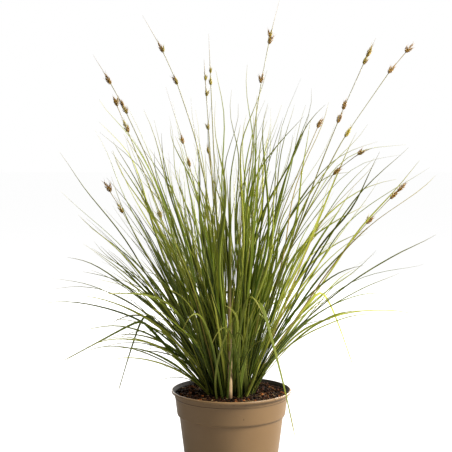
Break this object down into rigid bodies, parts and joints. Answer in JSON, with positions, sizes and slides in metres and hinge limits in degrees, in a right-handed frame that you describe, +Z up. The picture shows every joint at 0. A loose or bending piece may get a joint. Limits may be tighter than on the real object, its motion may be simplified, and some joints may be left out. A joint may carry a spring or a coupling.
{
  "type": "potted ornamental grass clump",
  "caption": "Tuft of narrow arching grass leaves with thin stems that carry small brown flower heads, growing in a round tapered nursery pot of soil.",
  "frame": {"origin": "middle of the pot's flat underside, where it stands on the floor", "axes": "+Z up along the pot's axis and the clump's height; -Y is the front that the picture shows; +X is to the right of that front"},
  "size_m": [0.5784, 0.4623, 0.689],
  "materials": {
    "pot_plastic": "satin",
    "soil": "matte",
    "leaf": "satin",
    "flower_stalk": "matte",
    "straw": "matte"
  },
  "bodies": {
    "root": {"bent_leaf_01": "leaf", "bent_leaf_02": "leaf", "bent_leaf_03": "leaf", "bent_leaf_04": "leaf", "bent_leaf_05": "leaf", "bent_leaf_06": "leaf", "flower_stalk_01": "flower_stalk", "flower_stalk_02": "flower_stalk", "flower_stalk_03": "flower_stalk", "flower_stalk_04": "flower_stalk", "flower_stalk_05": "flower_stalk", "flower_stalk_06": "flower_stalk", "flower_stalk_07": "flower_stalk", "flower_stalk_08": "flower_stalk", "flower_stalk_09": "flower_stalk", "flower_stalk_10": "flower_stalk", "flower_stalk_11": "flower_stalk", "flower_stalk_12": "flower_stalk", "flower_stalk_13": "flower_stalk", "flower_stalk_14": "flower_stalk", "flower_stalk_15": "flower_stalk", "leaf_shoot_01": "leaf", "leaf_shoot_02": "leaf", "leaf_shoot_03": "leaf", "leaf_shoot_04": "leaf", "leaf_shoot_05": "leaf", "leaf_shoot_06": "leaf", "leaf_shoot_07": "leaf", "leaf_shoot_08": "leaf", "leaf_shoot_09": "leaf", "leaf_shoot_10": "leaf", "leaf_shoot_11": "leaf", "leaf_shoot_12": "leaf", "leaf_shoot_13": "leaf", "leaf_shoot_14": "leaf", "leaf_shoot_15": "leaf", "leaf_shoot_16": "leaf", "leaf_shoot_17": "leaf", "leaf_shoot_18": "leaf", "leaf_shoot_19": "leaf", "leaf_shoot_20": "leaf", "leaf_shoot_21": "leaf", "leaf_shoot_22": "leaf", "leaf_shoot_23": "leaf", "leaf_shoot_24": "leaf", "leaf_shoot_25": "leaf", "leaf_shoot_26": "leaf", "leaf_shoot_27": "leaf", "leaf_shoot_28": "leaf", "leaf_shoot_29": "leaf", "leaf_shoot_30": "leaf", "leaf_shoot_31": "leaf", "leaf_shoot_32": "leaf", "leaf_shoot_33": "leaf", "leaf_shoot_34": "leaf", "leaf_shoot_35": "leaf", "leaf_shoot_36": "leaf", "nursery_pot": "pot_plastic", "potting_soil": "soil", "stout_stem": "straw"}
  },
  "joints": []
}
